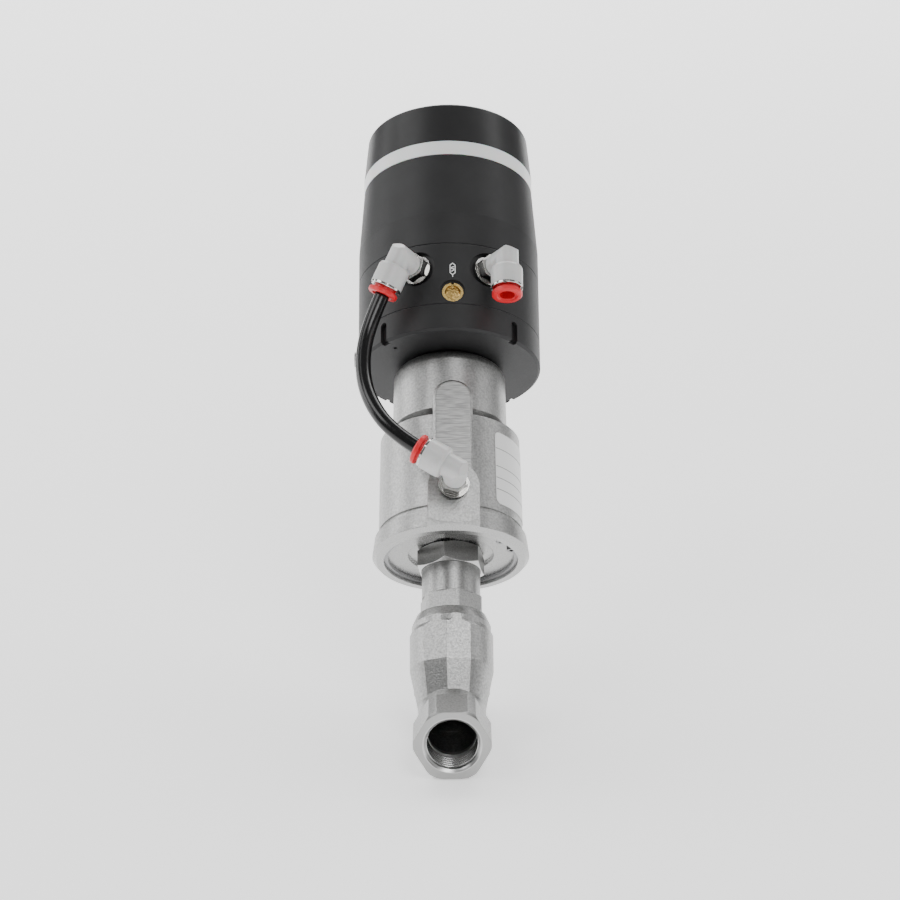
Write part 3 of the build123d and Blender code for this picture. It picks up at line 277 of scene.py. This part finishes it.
# Parts turned about the stem: the tool lines follow height plus radius, so that they ring every face and side.
turnedFinishes = {
    # end plate: satin, light, with fine circles
    "turnedStainlessPlate": {"colour": "#a6a6a5", "rough": (0.22, 0.30), "grain": 0.5, "depth": 0.006, "edge": 0.35,
                             "feed": 0.35},
    # neck and bonnet, blasted after turning: a finer grain than the castings, no lines left
    "blastedTurnedStainless": {"colour": "#aaaaa9", "tint": "#929291", "cloud": 0.6, "rough": (0.30, 0.40),
                               "grain": 0.6, "fine": 0.3, "depth": 0.04, "edge": 0.20},
    # stem and plug: ground bright
    "groundStainless": {"colour": "#cbcbca", "rough": (0.12, 0.20), "grain": 0.6, "depth": 0.002, "edge": 0.15,
                        "feed": 0.25, "line": 0.002},
    # piston: bare turned aluminium, whiter than steel
    "turnedAluminium": {"colour": "#cfd0d1", "rough": (0.24, 0.34), "grain": 0.5, "depth": 0.004, "edge": 0.2,
                        "feed": 0.3},
}
# Small metal parts
metalFinishes = {
    # spring wire: drawn, dark and smooth
    "drawnSpringSteel": {"colour": "#8f8f90", "rough": (0.24, 0.34), "grain": 0.4, "depth": 0.004, "edge": 0.15},
    # fitting studs and rings: bright nickel plate with crisp reflections
    "nickelPlatedBrass": {"colour": "#c9c8c5", "rough": (0.09, 0.15), "grain": 0.8, "depth": 0.002, "edge": 0.2},
    # silencer body: turned brass, pale yellow
    "turnedBrass": {"colour": "#d3b472", "rough": (0.24, 0.34), "grain": 0.4, "depth": 0.006, "edge": 0.15},
    # silencer filter: sintered bronze granules, dull
    "sinteredBronze": {"colour": "#d0b070", "tint": "#a88a50", "cloud": 0.5, "rough": (0.35, 0.5), "grain": 0.25,
                       "depth": 0.03, "edge": 0.05},
    # earth screw: darkened stainless
    "stainlessScrew": {"colour": "#7d7c7a", "rough": (0.28, 0.38), "grain": 0.4, "depth": 0.004, "edge": 0.2},
    # magnet: sintered and bare
    "sinteredMagnetAlloy": {"colour": "#6f6f72", "rough": (0.35, 0.45), "grain": 0.3, "depth": 0.006, "edge": 0.15},
    # pipe thread: cut bright
    "cutStainlessThread": {"colour": "#c8c8c7", "rough": (0.16, 0.24), "grain": 0.5, "depth": 0.004, "edge": 0.1},
}
# Plastics, rubber, print and foil, with the shader's own extra values
plasticFinishes = {
    # head: glass-filled polyamide from a finely textured tool, soft sheen
    "texturedBlackPolyamide": ({"colour": "#232324", "tint": "#1f1f20", "cloud": 9.0, "rough": (0.42, 0.54),
                                "grain": 0.30, "depth": 0.010, "edge": 0.25},
                               {"IOR": 1.53, "Specular IOR Level": 0.32}),
    # cover: the same plastic from a smoother tool, a little glossier
    "mouldedBlackPolyamide": ({"colour": "#1b1b1c", "tint": "#171718", "cloud": 9.0, "rough": (0.32, 0.42),
                               "grain": 0.30, "depth": 0.006, "edge": 0.35},
                              {"IOR": 1.53, "Specular IOR Level": 0.4}),
    # light ring: milky, scatters light inside
    "milkyPolycarbonate": ({"colour": "#efefee", "rough": (0.30, 0.38), "grain": 0.5, "depth": 0.003, "edge": 0.2},
                           {"IOR": 1.58, "Subsurface Weight": 0.3, "Subsurface Scale": 0.002}),
    # elbows: light grey PBT, smooth and slightly waxy
    "mouldedGreyPbt": ({"colour": "#d0d0cf", "tint": "#cacac9", "cloud": 5.0, "rough": (0.26, 0.36), "grain": 0.6,
                        "depth": 0.005, "edge": 0.45}, {"IOR": 1.55, "Subsurface Weight": 0.1,
                                                        "Subsurface Scale": 0.001}),
    # release collars: saturated red acetal with a soft gloss
    "mouldedRedAcetal": ({"colour": "#e4202b", "tint": "#da1c27", "cloud": 3.0, "rough": (0.30, 0.40), "grain": 0.5,
                          "depth": 0.004, "edge": 0.3}, {"IOR": 1.48}),
    # air tube: glossy black polyurethane, faint draw marks
    "extrudedBlackPolyurethane": ({"colour": "#0d0d0e", "rough": (0.16, 0.24), "grain": 1.2, "depth": 0.004,
                                   "edge": 0.2}, {"IOR": 1.5}),
    # packing and seat: white PTFE, soft and waxy
    "skivedWhitePtfe": ({"colour": "#e6e5e0", "rough": (0.40, 0.50), "grain": 0.3, "depth": 0.004, "edge": 0.15},
                        {"IOR": 1.35, "Subsurface Weight": 0.2, "Subsurface Scale": 0.001}),
    # guide rings and wiper: PTFE filled with carbon, matt black
    "carbonFilledPtfe": ({"colour": "#2c2c2c", "rough": (0.45, 0.55), "grain": 0.3, "depth": 0.004, "edge": 0.15},
                         {"IOR": 1.35}),
    # seals: moulded fluororubber, dull black
    "mouldedFluororubber": ({"colour": "#161616", "rough": (0.45, 0.58), "grain": 0.3, "depth": 0.004, "edge": 0.15},
                            {"IOR": 1.45}),
    # gasket: pressed fibre sheet, matt and uneven
    "pressedFibreSheet": ({"colour": "#3c4a42", "rough": (0.7, 0.85), "grain": 0.6, "depth": 0.03, "edge": 0.1},
                          {"IOR": 1.5}),
    # circuit board: green solder mask
    "solderMaskedBoard": ({"colour": "#1c5a34", "rough": (0.30, 0.40), "grain": 0.5, "depth": 0.004, "edge": 0.1},
                          {"IOR": 1.5}),
    # coils, sensor and connector insert: cast black resin
    "castBlackResin": ({"colour": "#232325", "rough": (0.40, 0.52), "grain": 0.4, "depth": 0.006, "edge": 0.2},
                       {"IOR": 1.5}),
    # type plate: matt silver foil with an even, pale face
    "mattPolyesterFoil": ({"colour": "#e9e9e8", "rough": (0.40, 0.50), "grain": 0.5, "depth": 0.002, "edge": 0.1},
                          {"IOR": 1.5}),
    # ruled lines on the type plate: dark grey ink
    "printedGreyInk": ({"colour": "#5e5e60", "rough": (0.45, 0.55), "grain": 0.4, "depth": 0.001, "edge": 0.05},
                       {"IOR": 1.5}),
    # sign on the head: pad-printed white ink
    "padPrintedWhiteInk": ({"colour": "#f2f2f2", "rough": (0.45, 0.55), "grain": 0.4, "depth": 0.002, "edge": 0.05},
                           {"IOR": 1.5}),
}


def makeMaterials():
    made = {"valveSteel": makeValveSteel(), "housingSteel": makeHousingSteel(), "nutSteel": makeNutSteel()}
    for name, spec in turnedFinishes.items():
        material, tree, coords, facing = startMaterial(name)
        height = along(tree, coords, stemFoot, stemUp)
        radius = roundAxis(tree, coords, stemFoot, stemUp)
        path = addNode(tree, "Math", {0: height, 1: radius}, operation="ADD")
        made[name] = endMaterial(material, tree, surfaceFinish(tree, coords, spec, path), Metallic=1.0)
    for name, spec in metalFinishes.items():
        material, tree, coords, facing = startMaterial(name)
        made[name] = endMaterial(material, tree, surfaceFinish(tree, coords, spec), Metallic=1.0)
    for name, (spec, extra) in plasticFinishes.items():
        material, tree, coords, facing = startMaterial(name)
        made[name] = endMaterial(material, tree, surfaceFinish(tree, coords, spec), **extra)
    return made


materials = makeMaterials()
print("materials made:", len(materials))

nodeFinish = {
    "valveSteel": ["valve_body"],
    "housingSteel": ["actuator_housing"],
    "nutSteel": ["clamp_nut", "piston_nut", "plug_nut", "base_screws"],
    "blastedTurnedStainless": ["bonnet", "packing_gland"],
    "turnedStainlessPlate": ["end_plate"],
    "groundStainless": ["stem", "plug", "feedback_rod"],
    "turnedAluminium": ["piston"],
    "stainlessScrew": ["earth_screw"],
    "drawnSpringSteel": ["packing_springs", "neck_ring", "circlip", "main_spring"],
    "sinteredMagnetAlloy": ["magnet"],
    "nickelPlatedBrass": ["fitting_studs", "supply_ring", "tube_fitting_rings", "connector"],
    "turnedBrass": ["silencer"],
    "sinteredBronze": ["silencer_core"],
    "skivedWhitePtfe": ["packing_rings", "plug_seal"],
    "carbonFilledPtfe": ["guide_bush", "packing_follower", "stem_wiper", "piston_guide_ring"],
    "mouldedFluororubber": ["end_plate_seal", "neck_seal", "piston_seal", "cover_o_ring", "fitting_washers",
                            "supply_seal", "tube_seals"],
    "pressedFibreSheet": ["bonnet_gasket"],
    "texturedBlackPolyamide": ["head_base", "port_ring", "head_shell"],
    "mouldedBlackPolyamide": ["cover_cap"],
    "milkyPolycarbonate": ["light_ring"],
    "mouldedGreyPbt": ["supply_elbow", "transfer_elbow", "actuator_elbow"],
    "mouldedRedAcetal": ["supply_collar", "transfer_collar", "actuator_collar"],
    "solderMaskedBoard": ["control_board"],
    "castBlackResin": ["connector_insert", "pilot_valves", "position_sensor"],
}


def dress(piece, finishName):
    piece.data.materials.clear()
    piece.data.materials.append(materials[finishName])


for finishName, names in nodeFinish.items():
    for name in names:
        dress(nodes[name], finishName)
print("frame dressed:", sum(len(names) for names in nodeFinish.values()), "nodes")

# Air tube: it leaves the left elbow, swings out round the actuator and ends in the lower elbow
airTube = {"radius": 3.0, "length": 96.8, "inElbow": 8.0, "firstRun": 19.0, "lastRun": 18.0,
           "swing": [(-36.0, 37.0, 129.5), (-33.0, 41.5, 110.0)]}
# Elbows: seat of each on the actuator, azimuth of its post, and how far out the leg crosses the post
elbows = {"transfer": (-13.17, 31.49, 173.2, -34.0), "actuator": (0.0, 31.2, 79.7, 0.0), "post": 14.0}


# Point on a leg's centre line: the seat, plus the post's length outwards, plus a distance down the leg
def legPoint(name, distance):
    x, ahead, height, azimuth = elbows[name]
    crossing = headPoint(x + elbows["post"] * sin(radians(azimuth)),
                         ahead + elbows["post"] * cos(radians(azimuth)), height)
    return crossing - distance * np.array(joints[name + "_collar_press"]["axis"])


def addTube(spec):
    start = spec["inElbow"]
    route = [legPoint("transfer", start), legPoint("transfer", start + spec["firstRun"]),
             *(headPoint(*place) for place in spec["swing"]),
             legPoint("actuator", start + spec["lastRun"]), legPoint("actuator", start)]
    curve = bpy.data.curves.new("airTubeLine", "CURVE")
    curve.dimensions = "3D"
    curve.bevel_depth = spec["radius"] * mm
    curve.bevel_resolution = 10
    curve.resolution_u = 24
    curve.use_fill_caps = True
    spline = curve.splines.new("NURBS")
    spline.points.add(len(route) - 1)
    for point, place in zip(spline.points, route):
        point.co = (*(place * mm), 1.0)
    spline.order_u = 3
    spline.use_endpoint_u = True
    tube = bpy.data.objects.new("airTube", curve)
    bpy.context.scene.collection.objects.link(tube)
    dress(tube, "extrudedBlackPolyurethane")
    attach(tube, "actuator")
    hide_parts("air_tube")


addTube(airTube)
print("air tube laid")


# Quads of a grid of points, closed round in its columns where asked
def gridFaces(rows, columns, closeColumns=False):
    i, j = np.meshgrid(np.arange(rows - 1), np.arange(columns if closeColumns else columns - 1), indexing="ij")
    nextJ = (j + 1) % columns
    quads = np.stack([i * columns + j, i * columns + nextJ, (i + 1) * columns + nextJ, (i + 1) * columns + j], -1)
    return quads.reshape(-1, 4)


# Mesh piece from points in millimetres, given its body, finish and material slot
def addSurface(name, points, faces, body, finishName, smooth=True):
    mesh = bpy.data.meshes.new(name)
    mesh.from_pydata((np.asarray(points).reshape(-1, 3) * mm).tolist(), [], [list(face) for face in faces])
    mesh.polygons.foreach_set("use_smooth", np.full(len(mesh.polygons), smooth))
    mesh.update()
    piece = bpy.data.objects.new(name, mesh)
    bpy.context.scene.collection.objects.link(piece)
    dress(piece, finishName)
    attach(piece, body)
    return piece


# Pipe thread in each port: root at the bore's wall, crest inwards, fading out at both ends
pipeThread = {"root": 9.88, "crest": 9.32, "pitch": 1.814, "start": 1.9, "end": 11.6, "steps": 96, "fade": 0.6}


# A tooth profile carried along a helix: radius = root - depth x profile x fade,
# distance along the pipe = start + pitch x turns + the profile's own offset
def addPipeThread(name, spec, faceY, sense):
    turns = (spec["end"] - spec["start"]) / spec["pitch"]
    angle = np.linspace(0, 2 * pi * turns, int(spec["steps"] * turns))
    fade = np.clip(np.minimum(angle, angle[-1] - angle) / (spec["fade"] * pi), 0.04, 1.0)
    tooth = np.array([0.0, 0.55, 0.92, 1.0, 0.92, 0.55, 0.0])
    offset = np.array([-0.47, -0.22, -0.09, 0.0, 0.09, 0.22, 0.47]) * spec["pitch"]
    radius = spec["root"] - (spec["root"] - spec["crest"]) * tooth[None, :] * fade[:, None]
    depth = spec["start"] + spec["pitch"] * angle[:, None] / (2 * pi) + offset[None, :]
    points = np.stack([radius * np.cos(angle)[:, None], faceY + sense * depth,
                       sense * radius * np.sin(angle)[:, None]], -1)
    count, width = radius.shape
    faces = [*gridFaces(count, width, closeColumns=True), range(width),
             range(count * width - 1, (count - 1) * width - 1, -1)]
    addSurface(name, points, faces, "valve", "cutStainlessThread")


addPipeThread("inletThread", pipeThread, 0.0, 1)
addPipeThread("outletThread", pipeThread, 2 * stemFoot[1], -1)
print("pipe threads cut")

# Filter disc in the silencer's mouth, made of sintered granules
sinteredDisc = {"radius": 3.05, "seatAhead": 36.6, "seatHeight": 162.1, "face": -2.0, "thickness": 1.3,
                "granule": 0.75, "rise": 0.45, "rings": 40, "spokes": 96}


# Height of the disc = face + the highest granule there, each half an ellipsoid, less a slight crown
def addSinteredDisc(spec):
    rng = np.random.default_rng(7)
    count = int(1.4 * (2 * spec["radius"] / spec["granule"]) ** 2)
    distance, turn = spec["radius"] * np.sqrt(rng.random(count)), 2 * pi * rng.random(count)
    size = spec["granule"] * (0.6 + 0.5 * rng.random(count))
    spokes, rings = spec["spokes"], spec["rings"]
    r = np.linspace(0, 1, rings)[1:, None] * spec["radius"]
    a = np.linspace(0, 2 * pi, spokes, endpoint=False)[None, :]
    x, y = np.append(0.0, (r * np.cos(a)).ravel()), np.append(0.0, (r * np.sin(a)).ravel())
    gap = np.hypot(x[:, None] - distance * np.cos(turn), y[:, None] - distance * np.sin(turn)) / size
    grains = (np.sqrt(np.clip(1 - gap ** 2, 0, 1)) * size / spec["granule"]).max(1)
    out = spec["face"] + spec["rise"] * grains - 0.5 * np.hypot(x, y) / spec["radius"]
    x, y = np.append(x, x[-spokes:]), np.append(y, y[-spokes:])
    out = np.append(out, np.full(spokes, spec["face"] - spec["thickness"]))
    points = headPoint(x, spec["seatAhead"] + out, spec["seatHeight"] + y)
    hub = np.arange(spokes)
    faces = [*np.stack([0 * hub, 1 + hub, 1 + (hub + 1) % spokes], -1),
             *(gridFaces(rings, spokes, closeColumns=True)[:, ::-1] + 1), hub[::-1] + len(points) - spokes]
    piece = addSurface("silencerSinter", points, faces, "actuator", "sinteredBronze")
    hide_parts("silencer_core")


addSinteredDisc(sinteredDisc)
print("silencer filled")

# Bare type plate on the housing's wall: foil with rounded corners and ruled rows
typePlate = {"azimuth": (39.0, 93.0), "height": (76.5, 107.5), "corner": 2.2, "lift": 0.06, "thickness": 0.12,
             "columns": 60, "rows": 48, "rules": (0.20, 0.36, 0.52, 0.77), "rule": 0.22, "margin": 0.3}
# The wall tapers: its radius at two heights
housingWall = {"low": (73.3, 28.2), "high": (112.5, 27.6)}


# Points on the housing's wall at azimuths, heights and a lift: the radius follows the wall's taper
def wallPoint(azimuth, height, lift):
    radius = np.interp(height, *zip(housingWall["low"], housingWall["high"])) + lift
    x, ahead = radius * np.sin(azimuth), radius * np.cos(azimuth)
    return stemFoot + x[..., None] * across + ahead[..., None] * stemFront + height[..., None] * stemUp


# Sheet of a thickness between an inner and an outer grid of wall points, closed round its rim
def addWallSheet(name, azimuth, height, lift, thickness, finishName):
    rows, columns = azimuth.shape
    layers = [wallPoint(azimuth, height, lift), wallPoint(azimuth, height, lift + thickness)]
    inner = gridFaces(rows, columns)
    rim = np.concatenate([np.arange(columns), np.arange(1, rows) * columns + columns - 1,
                          (rows - 1) * columns + np.arange(columns - 2, -1, -1),
                          np.arange(rows - 2, 0, -1) * columns])
    nextRim, sheet = np.roll(rim, -1), rows * columns
    side = np.stack([rim, rim + sheet, nextRim + sheet, nextRim], -1)
    faces = np.concatenate([inner, inner[:, ::-1] + sheet, side])
    addSurface(name, np.concatenate([layer.reshape(-1, 3) for layer in layers]), faces, "actuator", finishName)


# Half width of the plate's row = half its width, less what the rounded corner takes off near the ends
def addTypePlate(spec):
    low, high = spec["height"]
    turn = np.radians(spec["azimuth"])
    wall = housingWall["low"][1]
    half, tall, corner = (turn[1] - turn[0]) / 2 * wall, (high - low) / 2, spec["corner"]
    u = np.linspace(-1, 1, spec["columns"])[None, :]
    v = np.sin(np.linspace(-pi / 2, pi / 2, spec["rows"]))[:, None]
    past = np.clip(np.abs(v) * tall - (tall - corner), 0, corner)
    width = half - corner + np.sqrt(np.clip(corner ** 2 - past ** 2, 0, None))
    height = np.broadcast_to(v * tall + (low + high) / 2, (spec["rows"], spec["columns"]))
    addWallSheet("typePlate", turn.mean() + u * width / wall, height, spec["lift"], spec["thickness"],
                 "mattPolyesterFoil")
    for number, share in enumerate(spec["rules"]):
        ruleHeight = low + share * (high - low) + np.array([[-0.5], [0.5]]) * spec["rule"]
        u = np.linspace(-1, 1, spec["columns"])[None, :] * (half - spec["margin"]) / wall
        azimuth, ruleHeight = np.broadcast_arrays(turn.mean() + u, ruleHeight)
        addWallSheet(f"plateRule{number + 1}", azimuth, ruleHeight, spec["lift"] + spec["thickness"] + 0.01, 0.02,
                     "printedGreyInk")


addTypePlate(typePlate)
print("type plate stuck on")

# Sign above the silencer, the plain symbol for air let out through one: an outline, a zigzag and a tail
airSign = {"height": 171.9, "half": 1.0, "tall": 5.2, "point": 0.9, "line": 0.34, "wall": 36.6, "lift": 0.03,
           "thickness": 0.05}


# Each stroke is a flat bar bent to the head's wall: angle = distance across / radius
def addAirSign(spec):
    half, tall, line = spec["half"], spec["tall"] / 2, spec["line"]
    shoulder = tall - spec["point"]
    outline = [(0, tall), (half, shoulder), (half, -shoulder), (0, -tall), (-half, -shoulder), (-half, shoulder),
               (0, tall)]
    zigzag = [(0.5, 1.1), (-0.5, 0.6), (-0.5, 0.1), (0.5, 0.1), (0.5, -0.5), (-0.5, -1.1)]
    tail = [(0, -tall), (0, -tall - 0.9)]
    starts = np.array([place for path in (outline, zigzag, tail) for place in path[:-1]], float)
    ends = np.array([place for path in (outline, zigzag, tail) for place in path[1:]], float)
    run = (ends - starts) / np.linalg.norm(ends - starts, axis=1, keepdims=True)
    side = np.stack([-run[:, 1], run[:, 0]], -1) * line / 2
    starts, ends = starts - run * line * 0.35, ends + run * line * 0.35
    flat = np.stack([starts - side, ends - side, ends + side, starts + side], 1)
    radius = spec["wall"] + spec["lift"] + np.array([0.0, spec["thickness"]])[None, :, None]
    angle = flat[:, None, :, 0] / radius
    points = headPoint(radius * np.sin(angle), radius * np.cos(angle), spec["height"] + flat[:, None, :, 1] + 0 * angle)
    bar = np.array([(3, 2, 1, 0), (4, 5, 6, 7), (0, 1, 5, 4), (1, 2, 6, 5), (2, 3, 7, 6), (3, 0, 4, 7)])
    faces = (np.arange(len(flat))[:, None, None] * 8 + bar).reshape(-1, 4)
    addSurface("airSign", points, faces, "actuator", "padPrintedWhiteInk", smooth=False)


addAirSign(airSign)
print("sign printed")

# Studio: a white table lit from below, a dim world and large soft panels, one row of "lamps" each:
# place, what it points at, width, height and watts
studio = {
    "floor": "#fbfbfb", "glow": 0.65, "floorSize": 30.0, "floorDrop": 0.4, "world": "#e4e4e4", "worldStrength": 0.28,
    "lamps": {
        "leftHigh": ((-0.85, -0.10, 1.10), (0.0, 0.13, 0.13), 0.7, 0.6, 4.6),
        "leftLow": ((-1.20, 0.50, 0.42), (0.0, 0.08, 0.09), 0.9, 0.6, 5.0),
        "front": ((0.25, -0.45, 0.85), (0.0, 0.03, 0.05), 0.4, 0.6, 3.6),
        "right": ((1.20, 0.20, 0.65), (0.0, 0.10, 0.10), 0.8, 0.9, 2.6),
        "behind": ((0.0, 2.3, 1.8), (0.0, 2.3, 0.0), 4.0, 2.6, 140.0),
    },
}


def addStudio(setup):
    low = min(loadedBounds[0][2], 0.0) - setup["floorDrop"] * mm
    size = setup["floorSize"]
    mesh = bpy.data.meshes.new("studioFloor")
    mesh.from_pydata([(-size, -size, low), (size, -size, low), (size, size, low), (-size, size, low)], [],
                     [(0, 1, 2, 3)])
    floor = bpy.data.objects.new("studioFloor", mesh)
    bpy.context.scene.collection.objects.link(floor)
    material, tree, coords, facing = startMaterial("paleStudioFloor")
    fillSockets(tree, tree.nodes["Principled BSDF"], {"Base Color": setup["floor"], "Roughness": 0.9,
                                                        "Emission Color": "#ffffff",
                                                        "Emission Strength": setup["glow"]})
    mesh.materials.append(material)
    world = bpy.data.worlds.new("studio")
    world.use_nodes = True
    background = world.node_tree.nodes["Background"]
    background.inputs["Color"].default_value = toLinear(setup["world"])
    background.inputs["Strength"].default_value = setup["worldStrength"]
    bpy.context.scene.world = world
    for name, (place, target, width, height, watts) in setup["lamps"].items():
        data = bpy.data.lights.new(name, "AREA")
        data.shape = "RECTANGLE"
        data.size, data.size_y, data.energy = width, height, watts
        lamp = bpy.data.objects.new(name, data)
        bpy.context.scene.collection.objects.link(lamp)
        lamp.location = place
        lamp.visible_camera = False
        lamp.rotation_euler = (Vector(target) - Vector(place)).to_track_quat("-Z", "Y").to_euler()


addStudio(studio)
print("studio lit")
